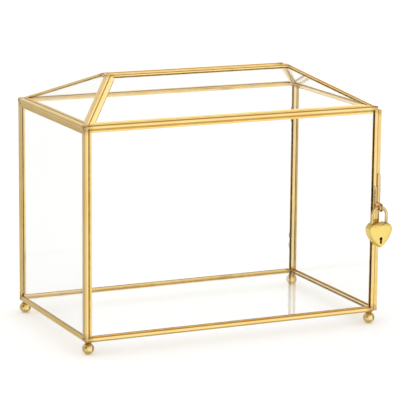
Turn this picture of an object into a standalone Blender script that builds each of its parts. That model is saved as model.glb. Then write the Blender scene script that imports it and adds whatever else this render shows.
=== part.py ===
"""Wedding card box: brass-framed clear glass with a hip roof, a card slot in the ridge,
a hinged end door and a heart padlock through two hasp lugs.

Metres, +Z up. +X runs along the box to the door end, +Y to the back. The origin is on the
surface the box stands on, under the middle of its overall outline.
"""
from math import ceil, cos, degrees, pi, radians, sin, sqrt

import bmesh
import bpy
from mathutils import Matrix, Quaternion, Vector

MM = 0.001

# ---------------------------------------------------------------- driving dimensions
OVERALL_WIDTH = 258.6 * MM       # left bead to the outer face of the door
BODY_DEPTH = 145.0 * MM          # front post axis to back post axis
BODY_HEIGHT = 167.4 * MM         # base rail axis to eave rail axis
OVERALL_HEIGHT = 208.8 * MM      # floor to the top of the slot bars
HIP_RUN = 46.0 * MM              # how far the ridge is set in from each end
SLOT_SPACING = 12.0 * MM         # between the axes of the two slot bars

GAP = 0.3 * MM                   # left between touching pieces
GLASS = 1.4 * MM                 # pane thickness
BRASS_WALL = 0.3 * MM            # beaded came's wall beside the pane
PLAIN_WALL = 0.45 * MM           # the same in a plain came
RAIL_BEAD = 2.25 * MM            # radius of the rounded outer edge of the base and eave rails
POST_BEAD = 2.0 * MM
ROOF_BEAD = 1.45 * MM            # hips and slot bars
NARROW_REACH = 2.7 * MM          # how far a narrow flange covers its pane, from the bead axis
WALL_REACH = 4.0 * MM            # a post's or eave's flange on the front or back pane
ROOF_REACH = 5.0 * MM            # an eave's or hip's flange on a long roof pane
END_REACH = 5.4 * MM             # a post's or eave's flange on the end pane
END_ROOF_REACH = 4.2 * MM        # an eave's or hip's flange on the end's roof pane
CHANNEL_DEPTH = 3.6 * MM         # plain came round the door opening and the door
WEB_START = 1.2 * MM             # bead axis to the bottom of the pane's slot

FOOT_RADIUS = 4.7 * MM
FOOT_DROP = 7.4 * MM             # ball centre below the base rail axis
FOOT_INSET = 2.0 * MM
FOOT_DOOR_INSET = 0.6 * MM       # the same along the box at the door end
FOOT_NECK_ANGLE = 64             # where the ball runs into its neck, in degrees above its middle
FOOT_REST_ANGLE = radians(10)    # half angle of the small flat that the ball stands on

DOOR_TOP_DROP = 1.2 * MM         # door edge below the eave rail axis
DOOR_BOTTOM_DROP = 1.2 * MM      # door edge below the base rail axis

KNUCKLE_RADIUS = 1.7 * MM
KNUCKLE_BORE = 0.95 * MM
KNUCKLE_LENGTH = 4.0 * MM
HINGE_PIN_RADIUS = 0.65 * MM
HINGE_FROM_END = 28.0 * MM       # hinge middle from the door's top and bottom edges

HASP_HEIGHT = 98.6 * MM          # lug hole above the floor
LUG_REACH = 6.1 * MM             # lug hole in front of the frame's face
LUG_TAB_HEIGHT = 7.0 * MM
LUG_THICKNESS = 1.0 * MM
LUG_STRIP_EDGE = 2.9 * MM        # strip's outer edge from the middle of the parting
LUG_HOLE_RADIUS = 2.1 * MM
LUG_TAB_OFFSET = 0.95 * MM       # tab middle either side of the parting plane
FRAME_LUG_STRIP = 17.0 * MM      # strip length above the lug hole
DOOR_LUG_STRIP = 27.0 * MM

WIRE_RADIUS = 1.2 * MM           # shackle
SHACKLE_HALF = 6.4 * MM          # leg axis from the shackle's middle
SHACKLE_RISE = 0.3 * MM          # bow's crown above the lug hole's centre
SHACKLE_SIDE = 0.2 * MM          # how far the padlock has slid along its bow, towards the box
SHORT_LEG = 16.8 * MM            # leg ends below the bow's crown
LONG_LEG = 21.8 * MM
CASE_TOP = 12.5 * MM             # heart shoulders below the lug hole
CASE_DEPTH = 8.0 * MM
CASE_HALF_WIDTH = 10.4 * MM
CASE_HEIGHT = 20.2 * MM
CASE_WALL = 1.0 * MM
CASE_BEVEL = 0.5 * MM
LOBE_RADIUS = 5.4 * MM
KEYHOLE_RADIUS = 1.35 * MM
KEYHOLE_BELOW = 12.6 * MM        # keyhole centre below the shoulders

BRASS_COLOUR = (0.83, 0.61, 0.27)
LOCK_COLOUR = (0.85, 0.66, 0.28)
STEEL_COLOUR = (0.55, 0.55, 0.56)
GLASS_COLOUR = (0.96, 0.98, 0.98)

# ---------------------------------------------------------------- derived places
SLOT_HALF = GLASS / 2 + GAP                      # half width of the pane's slot in a came
CAME_HALF = SLOT_HALF + BRASS_WALL               # half thickness of a beaded came
PLAIN_HALF = SLOT_HALF + PLAIN_WALL
DOOR_THICKNESS = 2 * PLAIN_HALF
FRONT = -BODY_DEPTH / 2
BACK = BODY_DEPTH / 2
FRONT_FACE = FRONT - PLAIN_HALF
BACK_FACE = BACK + PLAIN_HALF
HINGE_Y = BACK_FACE + GAP + KNUCKLE_RADIUS

LEFT = -OVERALL_WIDTH / 2 + RAIL_BEAD
PARTING = OVERALL_WIDTH / 2 - DOOR_THICKNESS - GAP       # outer face of the door opening
RIGHT = PARTING - CHANNEL_DEPTH / 2
DOOR_PLANE = OVERALL_WIDTH / 2 - PLAIN_HALF
PARTING_MIDDLE = PARTING + GAP / 2
BASE = FOOT_DROP + FOOT_RADIUS * cos(FOOT_REST_ANGLE)
EAVE = BASE + BODY_HEIGHT
RIDGE = OVERALL_HEIGHT - ROOF_BEAD
HINGE_AXIS = Vector((PARTING_MIDDLE, HINGE_Y, 0))
LUG_HOLE = Vector((PARTING_MIDDLE, FRONT_FACE - LUG_REACH, HASP_HEIGHT))
PADLOCK = LUG_HOLE - Vector((SHACKLE_SIDE, 0, 0))         # on the lug holes' axis, mid shackle

LEFT_MOST = LEFT + FOOT_INSET - FOOT_RADIUS
RIGHT_MOST = PADLOCK.x + CASE_HALF_WIDTH
FRONT_MOST = PADLOCK.y - CASE_DEPTH / 2
BACK_MOST = HINGE_Y + KNUCKLE_RADIUS
SHIFT = -Vector((LEFT_MOST + RIGHT_MOST, FRONT_MOST + BACK_MOST, 0)) / 2   # origin under the middle


# ---------------------------------------------------------------- general helpers
def clear_scene():
    for obj in list(bpy.data.objects):
        bpy.data.objects.remove(obj, do_unlink=True)


def material(name, colour, roughness, metallic=0.0, transmission=0.0):
    made = bpy.data.materials.new(name)
    made.use_nodes = True
    shader = made.node_tree.nodes["Principled BSDF"]
    shader.inputs["Base Color"].default_value = (*colour, 1)
    shader.inputs["Roughness"].default_value = roughness
    shader.inputs["Metallic"].default_value = metallic
    shader.inputs["Transmission Weight"].default_value = transmission
    made.diffuse_color = (*colour, 1)
    return made


def add_object(name, bm, finish, smooth_angle=40):
    """Turn a bmesh in box coordinates into a named object, shifted to the part's origin."""
    bmesh.ops.recalc_face_normals(bm, faces=bm.faces)
    mesh = bpy.data.meshes.new(name)
    bm.to_mesh(mesh)
    bm.free()
    mesh.transform(Matrix.Translation(SHIFT))
    mesh.materials.append(finish)
    mesh.shade_smooth()
    mesh.set_sharp_from_angle(angle=radians(smooth_angle))
    obj = bpy.data.objects.new(name, mesh)
    bpy.context.scene.collection.objects.link(obj)
    return obj


def joint_empty(name, position, parent=None):
    """An empty on a joint's axis, which carries the pieces that move about it."""
    empty = bpy.data.objects.new(name, None)
    empty.empty_display_size = 0.01
    empty.location = position + SHIFT
    if parent:
        empty.parent = parent
        empty.location -= parent.matrix_world.translation
    bpy.context.scene.collection.objects.link(empty)
    bpy.context.view_layer.update()
    return empty


def carry(empty, *pieces):
    """Parent pieces to an empty, with their origins on it and their shapes left where they are."""
    for piece in pieces:
        piece.data.transform(Matrix.Translation(-empty.matrix_world.translation))
        piece.parent = empty


def cutter(obj):
    obj.hide_render = True
    obj.display_type = "WIRE"
    return obj


def combine(obj, other, operation):
    """Join, or cut away, a hidden helper solid."""
    modifier = obj.modifiers.new(other.name, "BOOLEAN")
    modifier.operation = operation
    modifier.solver = "EXACT"
    modifier.object = cutter(other)


def prism(outline, offset):
    """Closed prism between an outline of points and the same outline moved by offset."""
    bm = bmesh.new()
    near = [bm.verts.new(point) for point in outline]
    far = [bm.verts.new(point + offset) for point in outline]
    bm.faces.new(near)
    bm.faces.new(list(reversed(far)))
    for i, vert in enumerate(near):
        j = (i + 1) % len(near)
        bm.faces.new((vert, far[i], far[j], near[j]))
    return bm


def box(low, high):
    low, high = Vector(low), Vector(high)
    floor = [Vector((x, y, low.z)) for x, y in
             ((low.x, low.y), (high.x, low.y), (high.x, high.y), (low.x, high.y))]
    return prism(floor, Vector((0, 0, high.z - low.z)))


def arc(centre, radius, start, end, steps):
    """Points on an arc as (u, v) pairs, angles in degrees."""
    points = []
    for i in range(steps + 1):
        angle = radians(start + (end - start) * i / steps)
        points.append((centre[0] + radius * cos(angle), centre[1] + radius * sin(angle)))
    return points


def rod(start, end, radius, sides=16):
    """Round bar between two points."""
    axis = end - start
    across = axis.orthogonal().normalized()
    ring = [start + Quaternion(axis.normalized(), 2 * pi * i / sides) @ across * radius
            for i in range(sides)]
    return prism(ring, axis)


def turned(name, centre, profile, steps, finish):
    """Solid turned about a vertical line through centre, from a profile of (radius, height) pairs."""
    bm = bmesh.new()
    verts = [bm.verts.new(centre + Vector((u, 0, v))) for u, v in profile]
    edges = [bm.edges.new(pair) for pair in zip(verts, verts[1:])]
    bmesh.ops.spin(bm, geom=verts + edges, cent=centre, axis=(0, 0, 1), angle=2 * pi, steps=steps)
    bmesh.ops.remove_doubles(bm, verts=bm.verts, dist=1e-6)
    bmesh.ops.holes_fill(bm, edges=[edge for edge in bm.edges if edge.is_boundary])
    return add_object(name, bm, finish)


# ---------------------------------------------------------------- cames and panes
def bead_radius(name):
    return {"post": POST_BEAD, "base": RAIL_BEAD, "eave": RAIL_BEAD}.get(name.split("_")[0], ROOF_BEAD)


def flange_reach(name, pane):
    """How far the named came's flanges cover a pane, measured from the bead axis."""
    if name.startswith(("base_", "slot_")) or name in ("hip_front_right", "hip_back_right", "hip_back_left"):
        return NARROW_REACH
    return {"front": WALL_REACH, "back": WALL_REACH, "left": END_REACH,
            "roof_left": END_ROOF_REACH}.get(pane, ROOF_REACH)


def came_section(along, inward, reach, bead):
    """Outline of a came about its axis: a U channel for each pane, and an outer bead.

    along is the came's direction, inward holds one unit vector into each pane, reach says
    how far the flanges cover that pane, and bead is the bead's radius, or 0 for a plain came.
    """
    half = CAME_HALF if bead else PLAIN_HALF
    normals = []
    for i, into in enumerate(inward):
        normal = along.cross(into)
        other = inward[1 - i] if len(inward) == 2 else -normal
        normals.append(-normal if normal.dot(other) > 0 else normal)

    def channel(into, normal, length):
        """Slot and flanges of one pane, from the outer face to the inner face."""
        slot = WEB_START if bead else -CHANNEL_DEPTH / 2 + 2 * GAP
        return [into * length + normal * half, into * length + normal * SLOT_HALF,
                into * slot + normal * SLOT_HALF, into * slot - normal * SLOT_HALF,
                into * length - normal * SLOT_HALF, into * length - normal * half]

    if not bead:
        into, normal = inward[0], normals[0]
        back = -into * CHANNEL_DEPTH / 2
        return [back + normal * half, *channel(into, normal, CHANNEL_DEPTH / 2),
                back - normal * half]

    tangent = sqrt(bead ** 2 - half ** 2)
    first = inward[0] * tangent + normals[0] * half
    outline = channel(inward[0], normals[0], reach[0])
    if len(inward) == 2:
        inner_corner = -(normals[0] + normals[1]) * half / (1 + normals[0].dot(normals[1]))
        outline += [inner_corner, *reversed(channel(inward[1], normals[1], reach[1]))]
        last = inward[1] * tangent + normals[1] * half
        outward = -(inward[0] + inward[1]).normalized()
    else:
        last = inward[0] * tangent - normals[0] * half
        outward = -inward[0]
    spread = outward.angle(first)
    turn = 1 if (Quaternion(along, spread) @ outward - last.normalized()).length < 0.01 else -1
    steps = ceil(2 * spread / radians(30))
    for i in range(steps + 1):
        angle = turn * spread * (1 - 2 * i / steps)
        outline.append(Quaternion(along, angle) @ outward * bead)
    return outline


def trim(bm, point, normal):
    """Cut away what lies behind a plane and close the cut."""
    bmesh.ops.bisect_plane(bm, geom=bm.verts[:] + bm.edges[:] + bm.faces[:], dist=1e-7,
                           plane_co=point, plane_no=normal, clear_inner=True)
    bmesh.ops.holes_fill(bm, edges=[edge for edge in bm.edges if edge.is_boundary])


class Cage:
    """A wire of corner points with a came on each edge and a pane in each face."""

    def __init__(self, corners, panes, cames, plain):
        self.corners = corners
        self.panes = panes
        self.cames = cames
        self.plain = plain

    def centre(self, pane):
        points = [self.corners[key] for key in self.panes[pane]]
        return sum(points, Vector()) / len(points)

    def panes_on(self, ends):
        return [pane for pane, keys in self.panes.items() if set(ends) <= set(keys)]

    def into_pane(self, ends, pane):
        start, end = (self.corners[key] for key in ends)
        along = (end - start).normalized()
        inward = self.centre(pane) - start
        return (inward - along * inward.dot(along)).normalized()

    def came(self, name, finish, clip=None):
        """Came along one edge, mitred against every other came at both its corners."""
        ends = self.cames[name]
        start, end = (self.corners[key] for key in ends)
        along = (end - start).normalized()
        panes = self.panes_on(ends)
        inward = [self.into_pane(ends, pane) for pane in panes]
        reach = [flange_reach(name, pane) for pane in panes]
        outline = came_section(along, inward, reach, 0 if name in self.plain else bead_radius(name))
        overrun = along * 3 * RAIL_BEAD
        bm = prism([start - overrun + point for point in outline], end - start + 2 * overrun)
        for here, there in (ends, reversed(ends)):
            corner = self.corners[here]
            direction = (self.corners[there] - corner).normalized()
            for other in self.cames.values():
                if here in other and set(other) != set(ends):
                    far = other[1] if other[0] == here else other[0]
                    normal = (direction - (self.corners[far] - corner).normalized()).normalized()
                    trim(bm, corner + normal * GAP / 2, normal)
        if clip:
            trim(bm, *clip)
        return add_object(name, bm, finish)

    def pane(self, pane, name, finish):
        """Glass plate whose border stands in the slots of the cames round it."""
        keys = self.panes[pane]
        points = [self.corners[key] for key in keys]
        normal = (points[1] - points[0]).cross(points[2] - points[1]).normalized()
        lines = []
        for i, key in enumerate(keys):
            ends = (key, keys[(i + 1) % len(keys)])
            edge_name = next(edge for edge, pair in self.cames.items() if set(pair) == set(ends))
            plain = edge_name in self.plain
            inset = -CHANNEL_DEPTH / 2 + 3 * GAP if plain else WEB_START + GAP
            into = self.into_pane(ends, pane)
            along = (self.corners[ends[1]] - self.corners[ends[0]]).normalized()
            lines.append((self.corners[key] + into * inset, along, into))
        outline = []
        for i, (point, along, into) in enumerate(lines):
            before_point, before_along, _ = lines[i - 1]
            step = (point - before_point).dot(into) / before_along.dot(into)
            outline.append(before_point + before_along * step - normal * GLASS / 2)
        return add_object(name, prism(outline, normal * GLASS), finish)


def body_cage():
    corners = {}
    for side, x, inset in (("L", LEFT, HIP_RUN), ("R", RIGHT, -HIP_RUN)):
        for face, y, ridge_y in (("F", FRONT, -SLOT_SPACING / 2), ("B", BACK, SLOT_SPACING / 2)):
            corners[face + side + "_base"] = Vector((x, y, BASE))
            corners[face + side + "_eave"] = Vector((x, y, EAVE))
            corners[face + side + "_ridge"] = Vector((x + inset, ridge_y, RIDGE))
    panes = {
        "base": ("FL_base", "FR_base", "BR_base", "BL_base"),
        "front": ("FL_base", "FR_base", "FR_eave", "FL_eave"),
        "back": ("BR_base", "BL_base", "BL_eave", "BR_eave"),
        "left": ("BL_base", "FL_base", "FL_eave", "BL_eave"),
        "roof_front": ("FL_eave", "FR_eave", "FR_ridge", "FL_ridge"),
        "roof_back": ("BR_eave", "BL_eave", "BL_ridge", "BR_ridge"),
        "roof_left": ("BL_eave", "FL_eave", "FL_ridge", "BL_ridge"),
        "roof_right": ("FR_eave", "BR_eave", "BR_ridge", "FR_ridge"),
    }
    cames = {}
    for key, word in (("FL", "front_left"), ("BL", "back_left"),
                      ("FR", "front_right"), ("BR", "back_right")):
        cames["post_" + word] = (key + "_base", key + "_eave")
        cames["hip_" + word] = (key + "_eave", key + "_ridge")
    for level, word in (("base", "base_rail_"), ("eave", "eave_rail_"), ("ridge", "slot_bar_")):
        cames[word + "front"] = ("FL_" + level, "FR_" + level)
        cames[word + "back"] = ("BL_" + level, "BR_" + level)
        cames[word + "left"] = ("FL_" + level, "BL_" + level)
        cames[word + "right"] = ("FR_" + level, "BR_" + level)
    plain = ("post_front_right", "post_back_right", "base_rail_right", "eave_rail_right")
    return Cage(corners, panes, cames, plain)


def door_cage():
    half = CHANNEL_DEPTH / 2
    low, high = BASE - DOOR_BOTTOM_DROP + half, EAVE - DOOR_TOP_DROP - half
    corners = {}
    for face, y in (("F", FRONT_FACE + half), ("B", BACK_FACE - half)):
        corners[face + "_low"] = Vector((DOOR_PLANE, y, low))
        corners[face + "_high"] = Vector((DOOR_PLANE, y, high))
    panes = {"door": ("F_low", "B_low", "B_high", "F_high")}
    cames = {
        "door_stile_latch": ("F_low", "F_high"),
        "door_stile_hinge": ("B_low", "B_high"),
        "door_rail_bottom": ("F_low", "B_low"),
        "door_rail_top": ("F_high", "B_high"),
    }
    return Cage(corners, panes, cames, tuple(cames))


# ---------------------------------------------------------------- feet, hinges and hasp
def ball_foot(name, x, y, finish):
    """Turned ball with a short neck, where it is soldered on, and a small flat to stand on."""
    low = degrees(FOOT_REST_ANGLE) - 90
    ball = arc((0, 0), FOOT_RADIUS, low, FOOT_NECK_ANGLE, 9)
    neck = [(ball[-1][0], FOOT_DROP - RAIL_BEAD - GAP)]
    turned(name, Vector((x, y, BASE - FOOT_DROP)), ball + neck, 20, finish)


def knuckle(low, side):
    """Strip curled round the hinge pin, with a tail to be soldered to a stile.

    side is -1 for the frame's knuckles and 1 for the door's.
    """
    tail = side * (CHANNEL_DEPTH + GAP / 2)
    curl = arc((0, 0), KNUCKLE_RADIUS, -90, 200, 14)
    curl += reversed(arc((0, 0), KNUCKLE_BORE, -90, 200, 14))
    points = [(-side * u, v) for u, v in curl]
    points += [(tail, -KNUCKLE_BORE), (tail, -KNUCKLE_RADIUS)]
    outline = [HINGE_AXIS + Vector((u, v, low)) for u, v in points]
    return prism(outline, Vector((0, 0, KNUCKLE_LENGTH)))


def hinge(word, middle, finish):
    """Frame knuckles above and below a door knuckle, on a headed pin. Returns the door's knuckle."""
    pitch = KNUCKLE_LENGTH + GAP
    low = middle - KNUCKLE_LENGTH / 2
    add_object("hinge_%s_frame_knuckle_below" % word, knuckle(low - pitch, -1), finish)
    add_object("hinge_%s_frame_knuckle_above" % word, knuckle(low + pitch, -1), finish)
    door_knuckle = add_object("hinge_%s_door_knuckle" % word, knuckle(low, 1), finish)
    top = low + 2 * pitch
    pin = [(HINGE_PIN_RADIUS, low - pitch), (HINGE_PIN_RADIUS, top),
           (2 * HINGE_PIN_RADIUS, top), (2 * HINGE_PIN_RADIUS, top + 2 * GAP)]
    turned("hinge_%s_pin" % word, HINGE_AXIS, pin, 12, finish)
    return door_knuckle


def hasp_lug(name, side, strip_length, finish):
    """Strip soldered up a stile, with a forward tab at its lower end for the padlock.

    side is -1 for the frame's lug and 1 for the door's.
    """
    tab_x = PARTING_MIDDLE + side * LUG_TAB_OFFSET
    near = PARTING_MIDDLE + side * GAP
    far = PARTING_MIDDLE + side * LUG_STRIP_EDGE
    plate_back = FRONT_FACE - GAP
    half = LUG_TAB_HEIGHT / 2
    round_top = arc(((near + far) / 2, HASP_HEIGHT + strip_length - abs(far - near) / 2),
                    abs(far - near) / 2, 0, 180, 8)
    foot = HASP_HEIGHT - half
    outline = [Vector((x, plate_back, z)) for x, z in
               [(max(near, far), foot)] + round_top + [(min(near, far), foot)]]
    lug = add_object(name, prism(outline, Vector((0, -LUG_THICKNESS, 0))), finish)
    tip = arc((LUG_HOLE.y, HASP_HEIGHT), half, 90, 270, 12)
    root = plate_back - LUG_THICKNESS / 2
    side_view = [(root, HASP_HEIGHT + half), *tip, (root, foot)]
    tab_near = tab_x - LUG_THICKNESS / 2
    tab = add_object(name + "_tab", prism([Vector((tab_near, y, z)) for y, z in side_view],
                                          Vector((LUG_THICKNESS, 0, 0))), finish)
    hole = Vector((tab_x, LUG_HOLE.y, HASP_HEIGHT))
    through = Vector((2 * LUG_THICKNESS, 0, 0))
    drill = add_object(name + "_drill", rod(hole - through, hole + through, LUG_HOLE_RADIUS, 20), finish)
    combine(lug, tab, "UNION")
    combine(lug, drill, "DIFFERENCE")
    return lug, tab, drill


# ---------------------------------------------------------------- heart padlock
def heart(inset=0.0):
    """Heart outline as (x, z) pairs about the middle of its shoulders, z up, set in by inset.

    Each half is a shoulder arc and a bowed side down to the tip.
    """
    lobe = CASE_HALF_WIDTH - LOBE_RADIUS
    notch = 110
    shoulder = arc((lobe, -LOBE_RADIUS), LOBE_RADIUS - inset, notch, 0, 10)
    start = Vector((CASE_HALF_WIDTH - inset, -LOBE_RADIUS))
    bow = Vector((CASE_HALF_WIDTH * 0.93 - inset, -CASE_HEIGHT * 0.67 + inset / 2))
    tip = Vector((0, -CASE_HEIGHT + 1.3 * inset))
    side = []
    for i in range(1, 10):
        t = i / 10
        side.append(tuple(start * (1 - t) ** 2 + bow * 2 * t * (1 - t) + tip * t ** 2))
    right = shoulder + side
    left = [(-x, z) for x, z in reversed(right)]
    return right + [tuple(tip)] + left + [(0, shoulder[0][1] - MM)]


def heart_plate(low_y, high_y, inset=0.0):
    top = PADLOCK.z - CASE_TOP
    outline = [Vector((PADLOCK.x + x, low_y, top + z)) for x, z in heart(inset)]
    return prism(outline, Vector((0, high_y - low_y, 0)))


def padlock_case(finish):
    """Heart cup, open at the back, with a keyhole in its face and two shackle holes."""
    front = PADLOCK.y - CASE_DEPTH / 2
    back = PADLOCK.y + CASE_DEPTH / 2
    case = add_object("padlock_case", heart_plate(front, back), finish, 30)
    bevel = case.modifiers.new("rounded_rims", "BEVEL")
    bevel.width = CASE_BEVEL
    bevel.segments = 2
    bevel.limit_method = "ANGLE"
    bevel.angle_limit = radians(60)
    cavity = add_object("padlock_cavity", heart_plate(front + CASE_WALL, back + MM, CASE_WALL), finish)
    top = PADLOCK.z - CASE_TOP
    keyhole = Vector((PADLOCK.x, 0, top - KEYHOLE_BELOW))
    near, far = Vector((0, front - MM, 0)), Vector((0, front + 2 * MM, 0))
    round_hole = add_object("padlock_key_drill", rod(keyhole + near, keyhole + far, KEYHOLE_RADIUS), finish)
    slit_half = Vector((KEYHOLE_RADIUS * 0.62, 0, 0))
    slit = add_object("padlock_key_slit",
                      box(keyhole + near - slit_half - Vector((0, 0, 4.2 * MM)),
                          keyhole + far + slit_half), finish)
    cutters = [cavity, round_hole, slit]
    for side in (-1, 1):
        leg = Vector((PADLOCK.x + side * SHACKLE_HALF, PADLOCK.y, top))
        cutters.append(add_object("padlock_leg_drill_%s" % ("left" if side < 0 else "right"),
                                  rod(leg - Vector((0, 0, 3 * MM)), leg + Vector((0, 0, MM)),
                                      WIRE_RADIUS + GAP), finish))
    for tool in cutters:
        combine(case, tool, "DIFFERENCE")
    return case, cutters


def shackle(finish):
    """Bent wire: a long leg, the bow through both lugs and a short leg."""
    crown = PADLOCK.z + SHACKLE_RISE
    springing = crown - SHACKLE_HALF
    path = [(-SHACKLE_HALF, crown - LONG_LEG)]
    path += arc((0, springing), SHACKLE_HALF, 180, 0, 12)
    path += [(SHACKLE_HALF, crown - SHORT_LEG)]
    points = [Vector((PADLOCK.x + x, PADLOCK.y, z)) for x, z in path]
    sides = 12
    bm = bmesh.new()
    rings = []
    for i, point in enumerate(points):
        forward = (points[min(i + 1, len(points) - 1)] - points[max(i - 1, 0)]).normalized()
        across = forward.cross(Vector((0, 1, 0)))
        rings.append([bm.verts.new(point + Quaternion(forward, 2 * pi * k / sides) @ across * WIRE_RADIUS)
                      for k in range(sides)])
    for ring, after in zip(rings, rings[1:]):
        for k in range(sides):
            n = (k + 1) % sides
            bm.faces.new((ring[k], ring[n], after[n], after[k]))
    bm.faces.new(rings[0])
    bm.faces.new(rings[-1])
    return add_object("padlock_shackle", bm, finish)


def padlock_insides(brass, steel):
    """Back plate, the post that a barrel key turns on, and the spring catch beside the short leg."""
    top = PADLOCK.z - CASE_TOP
    back = PADLOCK.y + CASE_DEPTH / 2
    plate_front = back - CASE_WALL
    plate = add_object("padlock_back_plate", heart_plate(plate_front, back, CASE_WALL + GAP), brass)
    post_base = Vector((PADLOCK.x, plate_front - GAP, top - KEYHOLE_BELOW))
    post_tip = post_base - Vector((0, CASE_DEPTH - 2 * CASE_WALL - 2 * GAP, 0))
    post = add_object("padlock_key_post", rod(post_base, post_tip, 0.5 * MM, 10), steel)
    leaf = 0.4 * MM
    nose = SHACKLE_HALF - WIRE_RADIUS - GAP
    line = [(-1.5 * MM, 9.6 * MM), (0.2 * MM, 9.0 * MM), (nose - 0.9 * MM, 5.0 * MM),
            (nose - leaf, 3.4 * MM), (nose - 1.2 * MM, 2.6 * MM)]
    shape = [(x, -z) for x, z in line] + [(x + leaf, -z) for x, z in reversed(line)]
    outline = [Vector((PADLOCK.x + x, PADLOCK.y - 1.5 * MM, top + z)) for x, z in shape]
    catch = add_object("padlock_spring_catch", prism(outline, Vector((0, 3 * MM, 0))), steel)
    return plate, post, catch


# ---------------------------------------------------------------- the whole box
def build():
    clear_scene()
    brass = material("brass", BRASS_COLOUR, 0.22, metallic=1.0)
    lock_brass = material("lock_brass", LOCK_COLOUR, 0.3, metallic=1.0)
    steel = material("steel", STEEL_COLOUR, 0.35, metallic=1.0)
    clear = material("glass", GLASS_COLOUR, 0.02, transmission=1.0)

    body = body_cage()
    opening = (Vector((PARTING, 0, 0)), Vector((-1, 0, 0)))
    for name in body.cames:
        body.came(name, brass, opening)
    for pane in body.panes:
        body.pane(pane, "glass_" + pane, clear)
    for side, x in (("left", LEFT + FOOT_INSET), ("right", RIGHT - FOOT_DOOR_INSET)):
        for face, y in (("front", FRONT + FOOT_INSET), ("back", BACK - FOOT_INSET)):
            ball_foot("foot_%s_%s" % (face, side), x, y, brass)

    door = door_cage()
    door_pivot = joint_empty("door_pivot", HINGE_AXIS)
    carry(door_pivot, *[door.came(name, brass) for name in door.cames])
    carry(door_pivot, door.pane("door", "door_glass", clear))
    for word, middle in (("lower", BASE + HINGE_FROM_END), ("upper", EAVE - HINGE_FROM_END)):
        carry(door_pivot, hinge(word, middle, brass))
    hasp_lug("hasp_lug_frame", -1, FRAME_LUG_STRIP, brass)
    carry(door_pivot, *hasp_lug("hasp_lug_door", 1, DOOR_LUG_STRIP, brass))

    padlock_pivot = joint_empty("padlock_pivot", PADLOCK)
    case_slide = joint_empty("case_slide", PADLOCK, padlock_pivot)
    carry(padlock_pivot, shackle(steel))
    case, cutters = padlock_case(lock_brass)
    carry(case_slide, case, *cutters, *padlock_insides(lock_brass, steel))


build()
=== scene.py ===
"""Looks of the wedding card box: polished brass came round clear glass, ball feet,
a hasp with beaded solder and a satin heart padlock. Metres, in the CAD model's frame."""
from math import ceil, cos, pi, radians, sin, sqrt

import bmesh
import bpy
from mathutils import Matrix, Quaternion, Vector, noise


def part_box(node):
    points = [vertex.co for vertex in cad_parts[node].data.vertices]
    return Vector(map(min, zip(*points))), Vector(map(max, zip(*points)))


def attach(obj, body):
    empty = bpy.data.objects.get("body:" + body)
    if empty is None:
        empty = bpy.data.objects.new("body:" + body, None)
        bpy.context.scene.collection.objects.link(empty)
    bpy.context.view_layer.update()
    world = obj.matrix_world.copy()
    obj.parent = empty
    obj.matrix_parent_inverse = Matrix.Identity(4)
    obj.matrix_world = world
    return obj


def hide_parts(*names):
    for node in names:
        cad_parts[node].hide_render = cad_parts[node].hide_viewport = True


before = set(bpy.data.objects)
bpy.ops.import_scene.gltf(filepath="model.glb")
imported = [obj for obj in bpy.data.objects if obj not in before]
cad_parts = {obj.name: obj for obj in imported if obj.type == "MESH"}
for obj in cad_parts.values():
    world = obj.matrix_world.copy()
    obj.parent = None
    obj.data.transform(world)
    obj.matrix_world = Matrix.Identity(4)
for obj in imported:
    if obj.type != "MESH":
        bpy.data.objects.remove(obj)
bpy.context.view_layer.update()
MM = 0.001
scene = bpy.context.scene
scene.view_settings.view_transform = "Standard"

# ---------------------------------------------------------------- sizes of the brass sections
HIP_RUN = 46.0 * MM              # how far the ridge's ends stand in from the end walls
RIDGE_HALF = 6.0 * MM            # from the middle of the card slot to each slot bar's axis
RAIL_BEAD = 2.25 * MM            # bead radii
POST_BEAD = 2.0 * MM
ROOF_BEAD = 1.45 * MM
NARROW_REACH = 2.7 * MM          # how far the flanges lap over a pane, from the came's axis
WALL_REACH = 4.0 * MM
ROOF_REACH = 5.0 * MM
END_REACH = 5.4 * MM
END_ROOF_REACH = 4.2 * MM
CHANNEL_DEPTH = 3.6 * MM         # plain came, from back to lip
CAME_HALF = 1.3 * MM             # half thickness over both flanges
PLAIN_HALF = 1.45 * MM
SLOT_HALF = 0.75 * MM            # half width of the slot that holds the glass
WEB_START = 1.2 * MM             # bottom of that slot, from the came's axis
PANE_GAP = 0.3 * MM              # between the web and the glass
GROOVE_FLOOR = 0.85 * MM         # bottom of the groove between bead and flange, from the pane's plane
BEAD_FOOT = 0.95 * MM            # where the bead rises out of the groove
GROOVE_WIDTH = 0.65 * MM
FRONT_LAP = 1.0 * MM             # a plain came's outer flange is this much shorter than its inner one
TIP = 0.12 * MM                  # rounding of a flange's edge
MITRE_GAP = 0.02 * MM            # each came stops this short of the mitre plane
BEAD_STEP = radians(11)          # facets of the bead
KNOB_RADIUS = {"base": 2.2 * MM, "eave": 2.3 * MM, "ridge": 1.4 * MM}
DOORWAY_KNOB_RADIUS = 1.72 * MM


# ---------------------------------------------------------------- places read from the CAD model
def centre(node, axis):
    low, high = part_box(node)
    return (low[axis] + high[axis]) / 2


LEFT = centre("glass_left", 0)   # the came axes lie in the panes' planes
FRONT = centre("glass_front", 1)
BACK = centre("glass_back", 1)
BASE = centre("glass_base", 2)
DOOR_PLANE = centre("door_glass", 0)
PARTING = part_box("post_front_right")[1][0]
RIGHT = PARTING - CHANNEL_DEPTH / 2
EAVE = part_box("glass_front")[1][2] + WEB_START + PANE_GAP
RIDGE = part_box("slot_bar_front")[1][2] - ROOF_BEAD


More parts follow.
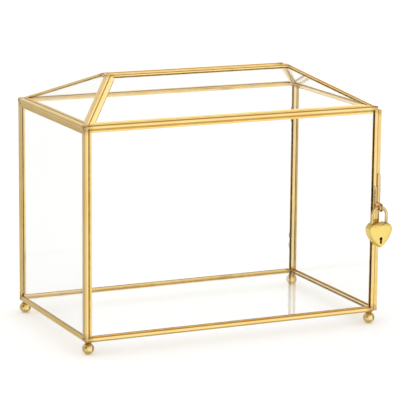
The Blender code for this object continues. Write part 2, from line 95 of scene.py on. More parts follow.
# ---------------------------------------------------------------- materials
DRIFT_SCALE = 38.0               # noise scales, from slow changes of tone to fine marks
PATCH_SCALE = 210.0
DRAWN_GRAIN = 2600.0
ALONG_STRETCH = 0.04             # drawn marks are 25 times longer along the came than across it
JOINT_STAIN_FULL = 1.2 * MM      # distances from a joint over which its stain fades out
JOINT_STAIN_END = 6.0 * MM


def node(tree, kind, **values):
    made = tree.nodes.new(kind)
    for key, value in values.items():
        if key.startswith("in_"):
            made.inputs[key[3:].replace("_", " ")].default_value = value
        else:
            setattr(made, key, value)
    return made


def new_material(name):
    made = bpy.data.materials.new(name)
    made.use_nodes = True
    return made, made.node_tree, made.node_tree.nodes["Principled BSDF"]


def noise_node(tree, coordinates, scale, detail=3.0):
    made = node(tree, "ShaderNodeTexNoise", in_Scale=scale, in_Detail=detail)
    tree.links.new(coordinates, made.inputs["Vector"])
    return made.outputs["Fac"]


def span(tree, value, low, high, to_low=0.0, to_high=1.0):
    made = node(tree, "ShaderNodeMapRange")
    made.inputs["From Min"].default_value = low
    made.inputs["From Max"].default_value = high
    made.inputs["To Min"].default_value = to_low
    made.inputs["To Max"].default_value = to_high
    tree.links.new(value, made.inputs["Value"])
    return made.outputs["Result"]


def calc(tree, operation, first, second):
    made = node(tree, "ShaderNodeMath", operation=operation)
    for socket, value in zip(made.inputs, (first, second)):
        if isinstance(value, float):
            socket.default_value = value
        else:
            tree.links.new(value, socket)
    return made.outputs[0]


def mix(tree, factor, first, second):
    made = node(tree, "ShaderNodeMix", data_type="RGBA")
    tree.links.new(factor, made.inputs[0])
    for socket, value in ((made.inputs[6], first), (made.inputs[7], second)):
        if isinstance(value, tuple):
            socket.default_value = (*value, 1)
        else:
            tree.links.new(value, socket)
    return made.outputs[2]


def attribute(tree, name):
    return node(tree, "ShaderNodeAttribute", attribute_name=name).outputs["Fac"]


def metal(name, light, deep, stain_and_shade, rough, drawn=False, grain=900.0, bump=0.06):
    """Polished metal: drifting tone, painted shade in grooves and hollows mixed with real stains, fine
    marks and handling haze.

    Drawn metal has marks that run along the came and is stained near its joints, from
    the run, rest and round attributes.
    """
    made, tree, shader = new_material(name)
    links = tree.links
    place = node(tree, "ShaderNodeTexCoord").outputs["Object"]
    if drawn:
        strand = node(tree, "ShaderNodeCombineXYZ")
        links.new(calc(tree, "MULTIPLY", attribute(tree, "run"), ALONG_STRETCH), strand.inputs[0])
        links.new(attribute(tree, "round"), strand.inputs[1])
        marks = noise_node(tree, strand.outputs[0], DRAWN_GRAIN, 4.0)
    else:
        marks = noise_node(tree, place, grain, 4.0)
    drift = noise_node(tree, place, DRIFT_SCALE, 2.0)
    patch = noise_node(tree, place, PATCH_SCALE, 3.0)
    tone = mix(tree, span(tree, drift, 0.35, 0.68), light, deep)
    spread = span(tree, patch, 0.3, 0.7, 0.55, 1.0)
    # painted shade and real stains, from each point's stored amount, spread in uneven patches
    stain_and_shade_amount = calc(tree, "MULTIPLY", attribute(tree, "tarnish_and_shade"), spread)
    if drawn:
        nearest = calc(tree, "MINIMUM", attribute(tree, "run"), attribute(tree, "rest"))
        ends = span(tree, nearest, JOINT_STAIN_FULL, JOINT_STAIN_END, 0.75, 0.0)
        stain_and_shade_amount = calc(tree, "MAXIMUM", stain_and_shade_amount, calc(tree, "MULTIPLY", ends, spread))
    links.new(mix(tree, stain_and_shade_amount, tone, stain_and_shade), shader.inputs["Base Color"])
    shader.inputs["Metallic"].default_value = 1
    haze = calc(tree, "ADD", span(tree, marks, 0.3, 0.75, rough * 0.7, rough * 1.5),
                calc(tree, "MULTIPLY", stain_and_shade_amount, 0.2))
    links.new(haze, shader.inputs["Roughness"])
    relief = node(tree, "ShaderNodeBump", in_Strength=bump, in_Distance=0.0001)
    links.new(marks, relief.inputs["Height"])
    links.new(relief.outputs["Normal"], shader.inputs["Normal"])
    return made


def clear_glass():
    """Float glass: a trace of green, faint waviness and a little handling haze."""
    made, tree, shader = new_material("float_glass")
    links = tree.links
    place = node(tree, "ShaderNodeTexCoord").outputs["Object"]
    tint = mix(tree, span(tree, noise_node(tree, place, 14.0), 0.3, 0.7),
               (0.992, 0.999, 0.995), (0.998, 1.0, 0.999))
    links.new(tint, shader.inputs["Base Color"])
    shader.inputs["IOR"].default_value = 1.25
    shader.inputs["Transmission Weight"].default_value = 1
    links.new(span(tree, noise_node(tree, place, 60.0), 0.45, 0.8, 0.0, 0.012),
              shader.inputs["Roughness"])
    relief = node(tree, "ShaderNodeBump", in_Strength=0.02, in_Distance=0.0005)
    links.new(noise_node(tree, place, 22.0, 1.0), relief.inputs["Height"])
    links.new(relief.outputs["Normal"], shader.inputs["Normal"])
    return made


BROWN = (0.40, 0.19, 0.028)
came_brass = metal("came_brass", (0.96, 0.76, 0.36), (0.93, 0.69, 0.28), BROWN, 0.085, drawn=True)
ball_brass = metal("ball_brass", (0.90, 0.72, 0.36), (0.80, 0.60, 0.26), (0.25, 0.17, 0.05), 0.09)
hinge_brass = metal("hinge_brass", (0.88, 0.68, 0.33), (0.80, 0.58, 0.25), BROWN, 0.16)
hasp_brass = metal("hasp_brass", (0.92, 0.72, 0.38), (0.85, 0.62, 0.28), BROWN, 0.18)
solder = metal("plated_solder", (0.93, 0.80, 0.50), (0.80, 0.62, 0.32), (0.22, 0.14, 0.04), 0.18,
               grain=1500.0, bump=0.25)
tin_solder = metal("tin_solder", (0.88, 0.84, 0.72), (0.70, 0.64, 0.50), (0.16, 0.12, 0.07), 0.2,
                   grain=1500.0, bump=0.25)
lock_gold = metal("satin_gold", (0.95, 0.76, 0.25), (0.90, 0.68, 0.19), (0.40, 0.25, 0.05), 0.34,
                  grain=4200.0, bump=0.12)
wire_brass = metal("wire_brass", (0.90, 0.75, 0.42), (0.82, 0.65, 0.33), BROWN, 0.14)
# near black, painted shade: lines the keyhole, the case's inside and the leg holes, and covers the key
# post
lock_painted_shade = metal("lock_inside_painted_shade", (0.10, 0.06, 0.03), (0.06, 0.03, 0.02), (0.02, 0.01, 0.01), 0.6)
lock_steel = metal("lock_steel", (0.55, 0.55, 0.56), (0.45, 0.44, 0.43), (0.2, 0.15, 0.1), 0.3)
glass = clear_glass()


# ---------------------------------------------------------------- mesh helpers
def add_piece(name, bm, finish, body, stands_for=(), smooth_angle=35):
    bmesh.ops.recalc_face_normals(bm, faces=bm.faces)
    mesh = bpy.data.meshes.new(name)
    bm.to_mesh(mesh)
    bm.free()
    mesh.materials.append(finish)
    mesh.shade_smooth()
    mesh.set_sharp_from_angle(angle=radians(smooth_angle))
    obj = bpy.data.objects.new(name, mesh)
    scene.collection.objects.link(obj)
    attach(obj, body)
    if stands_for:
        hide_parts(*stands_for)
    return obj


def prism(outline, offset, layers=()):
    """Closed prism between an outline and its copy at offset.

    layers gives named float values for the outline's points, at both ends.
    """
    bm = bmesh.new()
    made = {name: bm.verts.layers.float.new(name) for name, _, _ in layers}
    near = [bm.verts.new(point) for point in outline]
    far = [bm.verts.new(point + offset) for point in outline]
    for name, at_near, at_far in layers:
        for vert, other, low, high in zip(near, far, at_near, at_far):
            vert[made[name]] = low
            other[made[name]] = high
    bm.faces.new(near)
    bm.faces.new(list(reversed(far)))
    for i, vert in enumerate(near):
        j = (i + 1) % len(near)
        bm.faces.new((vert, far[i], far[j], near[j]))
    return bm


def trim(bm, point, normal):
    """Cut away what lies behind a plane and close the cut."""
    bmesh.ops.bisect_plane(bm, geom=bm.verts[:] + bm.edges[:] + bm.faces[:], dist=1e-7,
                           plane_co=point, plane_no=normal, clear_inner=True)
    bmesh.ops.holes_fill(bm, edges=[edge for edge in bm.edges if edge.is_boundary])


def arc(middle, radius, start, end, steps):
    return [(middle[0] + radius * cos(radians(start + (end - start) * i / steps)),
             middle[1] + radius * sin(radians(start + (end - start) * i / steps)))
            for i in range(steps + 1)]


def rod(start, end, radius, sides=32):
    axis = end - start
    across = axis.orthogonal().normalized()
    ring = [start + Quaternion(axis.normalized(), 2 * pi * i / sides) @ across * radius
            for i in range(sides)]
    return prism(ring, axis)


def turned(middle, profile, steps):
    bm = bmesh.new()
    verts = [bm.verts.new(middle + Vector((u, 0, v))) for u, v in profile]
    edges = [bm.edges.new(pair) for pair in zip(verts, verts[1:])]
    bmesh.ops.spin(bm, geom=verts + edges, cent=middle, axis=(0, 0, 1), angle=2 * pi, steps=steps)
    bmesh.ops.remove_doubles(bm, verts=bm.verts, dist=1e-6)
    bmesh.ops.holes_fill(bm, edges=[edge for edge in bm.edges if edge.is_boundary])
    return bm


def skin(bm, rings):
    """Faces between each closed ring of points and the next."""
    for ring, after in zip(rings, rings[1:]):
        for k in range(len(ring)):
            n = (k + 1) % len(ring)
            bm.faces.new((ring[k], ring[n], after[n], after[k]))


def stain_and_shade_by(obj, rule):
    """Store how much stain and painted shade each point gets, from a rule of its position."""
    layer = obj.data.attributes.new("tarnish_and_shade", "FLOAT", "POINT")
    for i, vert in enumerate(obj.data.vertices):
        layer.data[i].value = max(0.0, min(1.0, rule(vert.co)))


# ---------------------------------------------------------------- came
def came_section(along, inward, reach, bead):
    """Came outline about its axis, as (point, painted shade) pairs, with shade painted into the slot,
    on the inner flanges, in the grooves and at the bead's foot.

    Each pane has a folded channel with rounded edges. A bead, if there is one, rises
    from a groove beside each outer flange.
    """
    half = CAME_HALF if bead else PLAIN_HALF
    normals = []
    for i, into in enumerate(inward):
        normal = along.cross(into)
        other = inward[1 - i] if len(inward) == 2 else -normal
        normals.append(-normal if normal.dot(other) > 0 else normal)

    def channel(into, normal, length):
        slot = WEB_START if bead else -CHANNEL_DEPTH / 2 + 0.5 * MM
        lap = length if bead else length - FRONT_LAP
        # the third number is the shade painted at that point, deepest inside the slot
        places = [(lap - TIP, half, 0.1), (lap, half - TIP, 0.3), (lap, SLOT_HALF, 0.5),
                  (slot, SLOT_HALF, 0.8), (slot, -SLOT_HALF, 0.8), (length, -SLOT_HALF, 0.75),
                  (length, TIP - half, 0.4), (length - TIP, -half, 0.1 if bead else 0.6)]
        return [(into * u + normal * w, stain_and_shade) for u, w, stain_and_shade in places]

    if not bead:
        into, normal = inward[0], normals[0]
        back = -CHANNEL_DEPTH / 2
        # painted shade on a plain came's back and on its inner side
        return [(into * (back + TIP) + normal * half, 0.1),
                *channel(into, normal, CHANNEL_DEPTH / 2),
                (into * (back + TIP) - normal * half, 0.6),
                (into * back + normal * (TIP - half), 0.25),
                (into * back + normal * (half - TIP), 0.25)]

    foot = sqrt(bead ** 2 - BEAD_FOOT ** 2)

    def groove(into, normal, side):
        """Painted shade in the grooves that face up and beside a post's front, little in those that
        face down.
        """
        # painted shade: full beside a post's front, most in grooves facing up, little in grooves
        # facing down
        upright = abs(along.z) > 0.9 and normal.y * side < -0.5
        groove_shade = 1.0 if upright else 0.85 if normal.z > 0.3 else 0.15
        slope = 0.1 * MM
        places = [(foot + GROOVE_WIDTH, half, 0.3),
                  (foot + GROOVE_WIDTH - slope, half - slope, 0.8),
                  (foot + slope, GROOVE_FLOOR, 1.0)]
        return [(into * u + normal * w * side, stain_and_shade * groove_shade) for u, w, stain_and_shade in places]

    outline = channel(inward[0], normals[0], reach[0])
    lead = groove(inward[0], normals[0], 1)
    if len(inward) == 2:
        corner = -(normals[0] + normals[1]) * half / (1 + normals[0].dot(normals[1]))
        outline += [(corner, 0.3), *reversed(channel(inward[1], normals[1], reach[1]))]
        tail = groove(inward[1], normals[1], 1)
        last = inward[1] * foot + normals[1] * BEAD_FOOT
        outward = -(inward[0] + inward[1]).normalized()
    else:
        tail = groove(inward[0], normals[0], -1)
        last = inward[0] * foot - normals[0] * BEAD_FOOT
        outward = -inward[0]
    first = inward[0] * foot + normals[0] * BEAD_FOOT
    spread = outward.angle(first)
    turn = 1 if (Quaternion(along, spread) @ outward - last.normalized()).length < 0.01 else -1
    steps = ceil(2 * spread / BEAD_STEP)
    outline += tail
    for i in range(steps + 1):
        angle = turn * spread * (1 - 2 * i / steps)
        edge = min(i, steps - i)
        # painted shade at the bead's foot, fading towards its crown
        stain_and_shade = (0.75, 0.3, 0.1)[edge] if edge < 3 else 0.0
        outline.append((Quaternion(along, angle) @ outward * bead, stain_and_shade))
    return outline + list(reversed(lead))


def bead_radius(name):
    return {"post": POST_BEAD, "base": RAIL_BEAD, "eave": RAIL_BEAD}.get(name.split("_")[0], ROOF_BEAD)


def flange_reach(name, pane):
    narrow_hips = ("hip_front_right", "hip_back_right", "hip_back_left")
    if name.startswith(("base_", "slot_")) or name in narrow_hips:
        return NARROW_REACH
    if name == "eave_rail_back" and pane == "back":
        return NARROW_REACH
    return {"front": WALL_REACH, "back": WALL_REACH, "left": END_REACH,
            "roof_left": END_ROOF_REACH}.get(pane, ROOF_REACH)


class Cage:
    """A wire of corner points with a came on each edge and a pane in each face."""

    def __init__(self, corners, panes, cames, plain):
        self.corners = corners
        self.panes = panes
        self.cames = cames
        self.plain = plain

    def into_pane(self, ends, pane):
        start, end = (self.corners[key] for key in ends)
        along = (end - start).normalized()
        points = [self.corners[key] for key in self.panes[pane]]
        inward = sum(points, Vector()) / len(points) - start
        return (inward - along * inward.dot(along)).normalized()

    def came(self, name, body, clip=None):
        """Add the came of one edge, mitred at both ends and cut off at the clip plane."""
        ends = self.cames[name]
        start, end = (self.corners[key] for key in ends)
        along = (end - start).normalized()
        panes = [pane for pane, keys in self.panes.items() if set(ends) <= set(keys)]
        inward = [self.into_pane(ends, pane) for pane in panes]
        reach = [flange_reach(name, pane) for pane in panes]
        section = came_section(along, inward, reach, 0 if name in self.plain else bead_radius(name))
        overrun = 3 * RAIL_BEAD
        length = (end - start).length
        walked = 0.013 * len(name)   # shifts the marks, so that cames differ
        rounds = []
        for (point, _), (before, _) in zip(section, [section[0]] + section):
            walked += (point - before).length
            rounds.append(walked)
        stains_and_shade = [stain_and_shade for _, stain_and_shade in section]
        count = len(section)
        layers = (("tarnish_and_shade", stains_and_shade, stains_and_shade), ("round", rounds, rounds),
                  ("run", [-overrun] * count, [length + overrun] * count),
                  ("rest", [length + overrun] * count, [-overrun] * count))
        bm = prism([start - along * overrun + point for point, _ in section],
                   end - start + along * 2 * overrun, layers)
        for here, there in (ends, reversed(ends)):
            corner = self.corners[here]
            direction = (self.corners[there] - corner).normalized()
            for other in self.cames.values():
                if here in other and set(other) != set(ends):
                    far = other[1] if other[0] == here else other[0]
                    normal = (direction - (self.corners[far] - corner).normalized()).normalized()
                    trim(bm, corner + normal * MITRE_GAP, normal)
        if clip:
            trim(bm, *clip)
        add_piece("brass_" + name, bm, came_brass, body, (name,), 30)


def body_cage():
    corners = {}
    ridge_middle = (centre("slot_bar_front", 1) + centre("slot_bar_back", 1)) / 2
    for side, x, inset in (("L", LEFT, HIP_RUN), ("R", RIGHT, -HIP_RUN)):
        for face, y, ridge_y in (("F", FRONT, ridge_middle - RIDGE_HALF),
                                 ("B", BACK, ridge_middle + RIDGE_HALF)):
            corners[face + side + "_base"] = Vector((x, y, BASE))
            corners[face + side + "_eave"] = Vector((x, y, EAVE))
            corners[face + side + "_ridge"] = Vector((x + inset, ridge_y, RIDGE))
    panes = {
        "base": ("FL_base", "FR_base", "BR_base", "BL_base"),
        "front": ("FL_base", "FR_base", "FR_eave", "FL_eave"),
        "back": ("BR_base", "BL_base", "BL_eave", "BR_eave"),
        "left": ("BL_base", "FL_base", "FL_eave", "BL_eave"),
        "roof_front": ("FL_eave", "FR_eave", "FR_ridge", "FL_ridge"),
        "roof_back": ("BR_eave", "BL_eave", "BL_ridge", "BR_ridge"),
        "roof_left": ("BL_eave", "FL_eave", "FL_ridge", "BL_ridge"),
        "roof_right": ("FR_eave", "BR_eave", "BR_ridge", "FR_ridge"),
    }
    cames = {}
    for key, word in (("FL", "front_left"), ("BL", "back_left"),
                      ("FR", "front_right"), ("BR", "back_right")):
        cames["post_" + word] = (key + "_base", key + "_eave")
        cames["hip_" + word] = (key + "_eave", key + "_ridge")
    for level, word in (("base", "base_rail_"), ("eave", "eave_rail_"), ("ridge", "slot_bar_")):
        cames[word + "front"] = ("FL_" + level, "FR_" + level)
        cames[word + "back"] = ("BL_" + level, "BR_" + level)
        cames[word + "left"] = ("FL_" + level, "BL_" + level)
        cames[word + "right"] = ("FR_" + level, "BR_" + level)
    plain = ("post_front_right", "post_back_right", "base_rail_right", "eave_rail_right")
    return Cage(corners, panes, cames, plain)


def door_cage():
    half = CHANNEL_DEPTH / 2
    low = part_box("door_rail_bottom")[0][2] + half
    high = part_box("door_rail_top")[1][2] - half
    corners = {}
    for face, y in (("F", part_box("door_stile_latch")[0][1] + half),
                    ("B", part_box("door_stile_hinge")[1][1] - half)):
        corners[face + "_low"] = Vector((DOOR_PLANE, y, low))
        corners[face + "_high"] = Vector((DOOR_PLANE, y, high))
    panes = {"door": ("F_low", "B_low", "B_high", "F_high")}
    cames = {
        "door_stile_latch": ("F_low", "F_high"),
        "door_stile_hinge": ("B_low", "B_high"),
        "door_rail_bottom": ("F_low", "B_low"),
        "door_rail_top": ("F_high", "B_high"),
    }
    return Cage(corners, panes, cames, tuple(cames))


body_frame = body_cage()
for came_name in body_frame.cames:
    body_frame.came(came_name, "box", (Vector((PARTING, 0, 0)), Vector((-1, 0, 0))))
door_frame = door_cage()
for came_name in door_frame.cames:
    door_frame.came(came_name, "door")


def solder_knob(name, middle, radius, seed):
    """Small uneven knob of plated solder, where cames meet."""
    bm = bmesh.new()
    bmesh.ops.create_icosphere(bm, subdivisions=3, radius=1.0)
    for vert in bm.verts:
        swell = 1 + 0.16 * noise.noise(vert.co * 1.7 + Vector((seed, 0, 0)))
        vert.co = middle + Vector([c * radius * swell for c in vert.co])
    knob = add_piece(name, bm, solder, "box")
    stain_and_shade_by(knob, lambda co: 0.35 + 0.6 * noise.noise(co * 900 + Vector((seed, 0, 0))))


for number, (corner_name, corner) in enumerate(body_frame.corners.items()):
    storey = corner_name.split("_")[1]
    at_doorway = "R_" in corner_name and storey != "ridge"
    solder_knob("solder_" + corner_name, corner,
                DOORWAY_KNOB_RADIUS if at_doorway else KNOB_RADIUS[storey], 3.1 * number)


# ---------------------------------------------------------------- feet
def ball_foot(name):
    """Ball with a small flat to stand on and a soldered neck, darker at the neck and with painted
    shade underneath.
    """
    low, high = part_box(name)
    radius = (high[0] - low[0]) / 2
    flat = 10                        # degrees from the pole, at the edge of the flat
    middle = Vector((centre(name, 0), centre(name, 1), radius * cos(radians(flat))))
    top = high[2] - middle.z
    profile = arc((0, 0), radius, flat - 90, 60, 22)
    neck = 0.44 * radius
    rise = profile[-1][1]
    profile += [(neck + 0.1 * MM, rise + 0.22 * MM), (neck - 0.02 * MM, rise + 0.5 * MM),
                (neck + 0.12 * MM, top - 0.15 * MM), (neck + 0.4 * MM, top + 0.3 * MM)]
    foot = add_piece("ball_" + name, turned(middle, profile, 48), ball_brass,
                     "box", (name,), 60)
    # darker at the neck, and painted shade on the underside where the ball stands
    stain_and_shade_by(foot, lambda co: (co.z - middle.z - 0.62 * radius) / (0.3 * radius)
             if co.z > middle.z else (middle.z - 0.75 * radius - co.z) / (0.3 * radius))


for foot_name in ("foot_front_left", "foot_front_right", "foot_back_left", "foot_back_right"):
    ball_foot(foot_name)


# ---------------------------------------------------------------- hasp
TAB_HEIGHT = 7.0 * MM
PLATE = 1.0 * MM                 # thickness of a lug's strip and tab
TAB_PARTING = PARTING + 0.15 * MM    # middle of the gap between the frame and the door
TAB_OFFSET = 0.95 * MM           # from there to the middle of each tab
LUG_HOLE_RADIUS = 2.1 * MM
SEAM_EDGE = 1.55 * MM            # from a strip's middle line to the seam's outer side
SEAM_DEPTH = 0.75 * MM           # from the stile's face to the seam's middle
SEAM_STEPS = 84
SEAM_SIDES = 14


def apply_all(obj):
    """Bake an object's modifiers into its mesh."""
    depsgraph = bpy.context.evaluated_depsgraph_get()
    made = bpy.data.meshes.new_from_object(obj.evaluated_get(depsgraph), depsgraph=depsgraph)
    obj.modifiers.clear()
    obj.data = made


def cut(obj, bm, operation="DIFFERENCE", finish=None):
    """Join or cut away a helper solid, which is then removed."""
    bmesh.ops.recalc_face_normals(bm, faces=bm.faces)
    mesh = bpy.data.meshes.new("helper")
    bm.to_mesh(mesh)
    bm.free()
    if finish:
        mesh.materials.append(finish)
    helper = bpy.data.objects.new("helper", mesh)
    scene.collection.objects.link(helper)
    modifier = obj.modifiers.new("cut", "BOOLEAN")
    modifier.operation = operation
    modifier.solver = "EXACT"
    modifier.material_mode = "TRANSFER" if finish else "INDEX"
    modifier.object = helper
    apply_all(obj)
    bpy.data.objects.remove(helper, do_unlink=True)


def soften(obj, width, segments=3, angle=50):
    bevel = obj.modifiers.new("soften", "BEVEL")
    bevel.width = width
    bevel.segments = segments
    bevel.limit_method = "ANGLE"
    bevel.angle_limit = radians(angle)
    apply_all(obj)
    obj.data.shade_smooth()
    obj.data.set_sharp_from_angle(angle=radians(40))


def hasp_lug(name, side, body):
    """Strip with a round top, soldered up a stile, and a forward tab with a hole at its foot."""
    low, high = (Vector(corner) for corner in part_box(name))
    width = high.x - low.x
    middle_x = (low.x + high.x) / 2
    round_top = arc((middle_x, high.z - width / 2), width / 2, 0, 180, 20)
    outline = [Vector((x, high.y, z)) for x, z in
               [(high.x, low.z)] + round_top + [(low.x, low.z)]]
    lug = add_piece("brass_" + name, prism(outline, Vector((0, -PLATE, 0))), hasp_brass, body,
                    (name,))
    hole_z = low.z + TAB_HEIGHT / 2
    hole_y = low.y + TAB_HEIGHT / 2
    root = high.y - PLATE / 2
    side_view = [(root, hole_z + TAB_HEIGHT / 2),
                 *arc((hole_y, hole_z), TAB_HEIGHT / 2, 90, 270, 24), (root, low.z)]
    tab_middle = TAB_PARTING + side * TAB_OFFSET
    near = tab_middle - PLATE / 2
    cut(lug, prism([Vector((near, y, z)) for y, z in side_view], Vector((PLATE, 0, 0))), "UNION")
    hole = Vector((tab_middle, hole_y, hole_z))
    reach = Vector((2 * MM, 0, 0))
    cut(lug, rod(hole - reach, hole + reach, LUG_HOLE_RADIUS, 40))
    soften(lug, 0.16 * MM)
    # uneven tone, darker over the tab
    stain_and_shade_by(lug, lambda co: 0.25 + 0.4 * noise.noise(co * 500)
             + (0.25 if co.z < low.z + TAB_HEIGHT else 0))
    return low, high


def solder_seam(name, x, y, low, high, radius, body, seed):
    """Run of solder laid in overlapping beads up a seam."""
    bm = bmesh.new()
    rings = []
    for i in range(SEAM_STEPS + 1):
        t = i / SEAM_STEPS
        beads = abs(sin(t * 9 * pi + 0.5 * noise.noise(Vector((seed, 5 * t, 0)))))
        end = sqrt(max(0.02, 1 - (2 * t - 1) ** 10))
        uneven = 1 + 0.2 * noise.noise(Vector((seed, 14 * t, 3)))
        thick = radius * (0.58 + 0.42 * beads) * end * uneven
        drift = 0.25 * radius * noise.noise(Vector((seed, 6 * t, 9)))
        z = low + (high - low) * t
        turns = [2 * pi * k / SEAM_SIDES for k in range(SEAM_SIDES)]
        rings.append([bm.verts.new((x + drift + thick * cos(turn), y + 0.8 * thick * sin(turn), z))
                      for turn in turns])
    skin(bm, rings)
    bm.faces.new(rings[0])
    bm.faces.new(rings[-1])
    seam = add_piece(name, bm, tin_solder, body, smooth_angle=60)
    stain_and_shade_by(seam, lambda co: 0.4 + 0.7 * noise.noise(co * 700))


for lug_name, lug_side, lug_body, seam_radius in (("hasp_lug_frame", -1, "box", 1.05 * MM),
                                                  ("hasp_lug_door", 1, "door", 0.45 * MM)):
    lug_low, lug_high = hasp_lug(lug_name, lug_side, lug_body)
    lug_middle = (lug_low.x + lug_high.x) / 2
    solder_seam("solder_" + lug_name, lug_middle + lug_side * (SEAM_EDGE - seam_radius),
                lug_high.y - SEAM_DEPTH, lug_low.z + TAB_HEIGHT + 0.2 * MM, lug_high.z - 1.2 * MM,
                seam_radius, lug_body, 7.0 * lug_side)

# ---------------------------------------------------------------- heart padlock
CASE_HALF_WIDTH = 10.4 * MM
CASE_HEIGHT = 20.2 * MM
LOBE_RADIUS = 5.4 * MM
KEYHOLE_RADIUS = 1.35 * MM
KEYHOLE_BELOW = 12.6 * MM
WIRE_RADIUS = 1.2 * MM
SHACKLE_HALF = 6.4 * MM
SHORT_LEG = 16.8 * MM            # from the top of the bow to the end of the short leg
CASE_WALL = 1.0 * MM
CASE_RIM = 1.1 * MM
CASE_CROWN = 0.35 * MM
SLIT_LENGTH = 4.2 * MM
LEG_CLEARANCE = 0.3 * MM
case_low, case_high = (Vector(corner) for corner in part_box("padlock_case"))
case_x = (case_low.x + case_high.x) / 2
case_y = (case_low.y + case_high.y) / 2
case_top = case_high.z


def heart(inset=0.0):
    """Heart outline as (x, z) pairs about the middle of its shoulders, z up, set in by inset."""
    lobe = CASE_HALF_WIDTH - LOBE_RADIUS
    shoulder = arc((lobe, -LOBE_RADIUS), LOBE_RADIUS - inset, 110, 0, 28)
    start = Vector((CASE_HALF_WIDTH - inset, -LOBE_RADIUS))
    bow = Vector((CASE_HALF_WIDTH * 0.93 - inset, -CASE_HEIGHT * 0.67 + inset / 2))
    tip = Vector((0, -CASE_HEIGHT + 1.3 * inset))
    side = []
    for i in range(1, 26):
        t = i / 26
        side.append(tuple(start * (1 - t) ** 2 + bow * 2 * t * (1 - t) + tip * t ** 2))
    right = shoulder + side
    left = [(-x, z) for x, z in reversed(right)]
    return right + [tuple(tip)] + left + [(0, shoulder[0][1] - MM)]


def padlock_case():
    """Pressed heart with a rolled rim, a slightly crowned face, a keyhole and two leg holes."""
    face = case_low.y + CASE_CROWN
    steps = [(0.0, 1.0, case_high.y), (0.0, 1.0, face + CASE_RIM)]
    steps += [(CASE_RIM * (1 - cos(a)), 1.0, face + CASE_RIM * (1 - sin(a)))
              for a in (radians(15 * i) for i in range(1, 7))]
    steps += [(CASE_RIM, scale, face - CASE_CROWN * (1 - scale ** 2))
              for scale in (0.92, 0.8, 0.62, 0.4, 0.18)]
    bm = bmesh.new()
    middle = -0.45 * CASE_HEIGHT
    rings = [[bm.verts.new((case_x + x * scale, y, case_top + middle + (z - middle) * scale))
              for x, z in heart(inset)] for inset, scale, y in steps]
    bm.faces.new(rings[0])
    bm.faces.new(list(reversed(rings[-1])))
    skin(bm, rings)
    case = add_piece("gold_padlock_case", bm, lock_gold, "padlock", ("padlock_case",), 50)
    # the cavity, keyhole and leg holes are lined with near-black painted shade
    cavity = [Vector((case_x + x, face + CASE_WALL, case_top + z)) for x, z in heart(CASE_WALL)]
    cut(case, prism(cavity, Vector((0, case_high.y - face, 0))), finish=lock_painted_shade)
    slit = 0.62 * KEYHOLE_RADIUS
    opening = [(slit, -SLIT_LENGTH), *arc((0, 0), KEYHOLE_RADIUS, -48, 228, 26), (-slit, -SLIT_LENGTH)]
    keyhole = [Vector((case_x + x, case_low.y - MM, case_top - KEYHOLE_BELOW + z)) for x, z in opening]
    cut(case, prism(keyhole, Vector((0, 3.5 * MM, 0))), finish=lock_painted_shade)
    for side in (-1, 1):
        leg = Vector((case_x + side * SHACKLE_HALF, case_y, case_top))
        cut(case, rod(leg - Vector((0, 0, 3 * MM)), leg + Vector((0, 0, MM)),
                      WIRE_RADIUS + LEG_CLEARANCE), finish=lock_painted_shade)
    case.data.shade_smooth()
    case.data.set_sharp_from_angle(angle=radians(35))
    # painted shade along the top of the case, over uneven tone
    stain_and_shade_by(case, lambda co: 0.75 * (1 - (case_top - co.z) / (3.2 * MM))
             + 0.25 * noise.noise(co * 260))


def shackle():
    """Bent wire with dressed ends: a long leg, the bow through both lugs and a short leg."""
    low, high = (Vector(corner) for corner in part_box("padlock_shackle"))
    crown = high.z - WIRE_RADIUS
    springing = crown - SHACKLE_HALF
    path = [(-SHACKLE_HALF, low.z)]
    path += arc((0, springing), SHACKLE_HALF, 180, 0, 40)
    path += [(SHACKLE_HALF, crown - SHORT_LEG)]
    points = [Vector((case_x + x, case_y, z)) for x, z in path]
    dressed = Vector((0, 0, 0.25 * MM))
    points.insert(1, points[0] + dressed)
    points.insert(-1, points[-1] + dressed)
    bm = bmesh.new()
    rings = []
    sides = 28
    for i, point in enumerate(points):
        forward = (points[min(i + 1, len(points) - 1)] - points[max(i - 1, 0)]).normalized()
        across = forward.cross(Vector((0, 1, 0)))
        radius = WIRE_RADIUS * (0.8 if i in (0, len(points) - 1) else 1.0)
        rings.append([bm.verts.new(point + Quaternion(forward, 2 * pi * k / sides) @ across * radius)
                      for k in range(sides)])
    skin(bm, rings)
    bm.faces.new(rings[0])
    bm.faces.new(rings[-1])
    wire = add_piece("brass_padlock_shackle", bm, wire_brass, "shackle",
                     ("padlock_shackle",), 40)
    # uneven tone, and painted shade on the wire inside the leg holes
    stain_and_shade_by(wire, lambda co: 0.25 + 0.5 * noise.noise(co * 420)
             + (0.4 if co.z < case_top + 0.6 * MM else 0))


padlock_case()
shackle()

# ---------------------------------------------------------------- finishes of the CAD pieces
# the key post is painted with the keyhole's near-black shade
lock_finishes = {"padlock_key_post": lock_painted_shade, "padlock_spring_catch": lock_steel,
                 "padlock_back_plate": lock_gold}
for name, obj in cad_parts.items():
    finish = lock_finishes.get(name, came_brass)
    if name.startswith("hinge"):
        finish = hinge_brass
    if "glass" in name:
        finish = glass
        obj.visible_shadow = False
        obj.visible_diffuse = False
    obj.data.materials.clear()
    obj.data.materials.append(finish)

# ---------------------------------------------------------------- floor
FLOOR_SIZE = 12
bpy.ops.mesh.primitive_plane_add(size=FLOOR_SIZE)
floor = bpy.context.object
floor.name = "floor"
floor_finish, floor_tree, floor_shader = new_material("pale_floor")
floor_place = node(floor_tree, "ShaderNodeTexCoord").outputs["Object"]
floor_tree.links.new(mix(floor_tree, noise_node(floor_tree, floor_place, 3.0), (0.95, 0.95, 0.95),
                         (0.965, 0.965, 0.965)), floor_shader.inputs["Base Color"])
floor_shader.inputs["Roughness"].default_value = 0.9
floor_shader.inputs["Specular IOR Level"].default_value = 0.2
floor.data.materials.append(floor_finish)
floor.visible_glossy = False


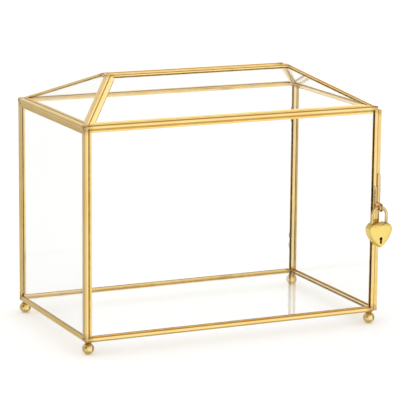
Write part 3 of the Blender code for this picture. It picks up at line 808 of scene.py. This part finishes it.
# ---------------------------------------------------------------- soft studio
SURROUNDINGS = (1.13, 1.13, 1.13)    # seen directly, and lighting the floor
WALLS = (0.84, 0.80, 0.74)           # in reflections, where there is no panel
PANELS = (                           # direction, cosines where it is full and where it ends, tone
    ((0.05, -0.1, 0.97), 0.9, 0.5, (0.48, 0.31, 0.14)),         # warm ceiling
    ((-0.75, 0.65, -0.15), 0.9, 0.6, (0.56, 0.52, 0.46)),       # grey wall behind, on the left
    ((0.46, 0.87, -0.17), 0.99, 0.955, (0.30, 0.27, 0.17)),     # dark strip behind, below eye level
    ((0.38, -0.91, -0.12), 0.93, 0.45, (1.10, 1.06, 0.98)),     # bright screen in front
    ((0.41, 0.476, 0.777), 0.99, 0.955, (1.30, 1.25, 1.16)),    # lamp high behind
    ((0.95, 0.1, -0.1), 0.9, 0.7, (0.42, 0.34, 0.20)),          # brown wall on the right
    ((-0.85, -0.26, 0.47), 0.95, 0.82, (0.30, 0.26, 0.15)),     # dark panel high on the left
    ((0, 0, -1), 0.85, 0.5, (0.55, 0.47, 0.32)),                # tan underneath
    ((0.409, 0.89, 0.2), 0.995, 0.965, (1.08, 1.08, 1.07)),     # white strip behind, above eye level
)


def studio():
    """White surroundings for what is seen directly, and graded soft panels for what shines."""
    world = bpy.data.worlds.new("studio")
    scene.world = world
    world.use_nodes = True
    tree = world.node_tree
    links = tree.links
    heading = node(tree, "ShaderNodeTexCoord").outputs["Generated"]

    def lobe(direction, full, end):
        """1 towards a direction, falling to 0 away from it."""
        toward = node(tree, "ShaderNodeVectorMath", operation="DOT_PRODUCT")
        toward.inputs[1].default_value = Vector(direction).normalized()
        links.new(heading, toward.inputs[0])
        made = node(tree, "ShaderNodeMapRange", interpolation_type="SMOOTHSTEP")
        made.inputs["From Min"].default_value = end
        made.inputs["From Max"].default_value = full
        links.new(toward.outputs["Value"], made.inputs["Value"])
        return made.outputs["Result"]

    shade = WALLS
    for direction, full, end, tone in PANELS:
        shade = mix(tree, lobe(direction, full, end), shade, tone)
    rays = node(tree, "ShaderNodeLightPath")
    shiny = calc(tree, "GREATER_THAN", rays.outputs["Glossy Depth"], 0.5)
    undiffused = calc(tree, "LESS_THAN", rays.outputs["Diffuse Depth"], 0.5)
    reflected = calc(tree, "MULTIPLY", shiny, undiffused)
    links.new(mix(tree, reflected, SURROUNDINGS, shade), tree.nodes["Background"].inputs["Color"])


studio()

# ---------------------------------------------------------------- camera
AZIMUTH = radians(-24.685)
ELEVATION = radians(11.652)
ROLL = radians(0.493)
TARGET = Vector((-0.00126, 0.00292, 0.09944))
DISTANCE = 1.848
LENS = 202.4
camera = bpy.data.objects.new("camera", bpy.data.cameras.new("camera"))
scene.collection.objects.link(camera)
scene.camera = camera
camera.data.lens = LENS
camera.data.clip_end = 50
back = Vector((sin(AZIMUTH) * cos(ELEVATION), -cos(AZIMUTH) * cos(ELEVATION), sin(ELEVATION)))
level = Vector((0, 0, 1)).cross(back).normalized()
upward = back.cross(level)
right = level * cos(ROLL) + upward * sin(ROLL)
up = upward * cos(ROLL) - level * sin(ROLL)
camera.location = TARGET + back * DISTANCE
camera.rotation_mode = "QUATERNION"
camera.rotation_quaternion = Matrix((right, up, back)).transposed().to_quaternion()
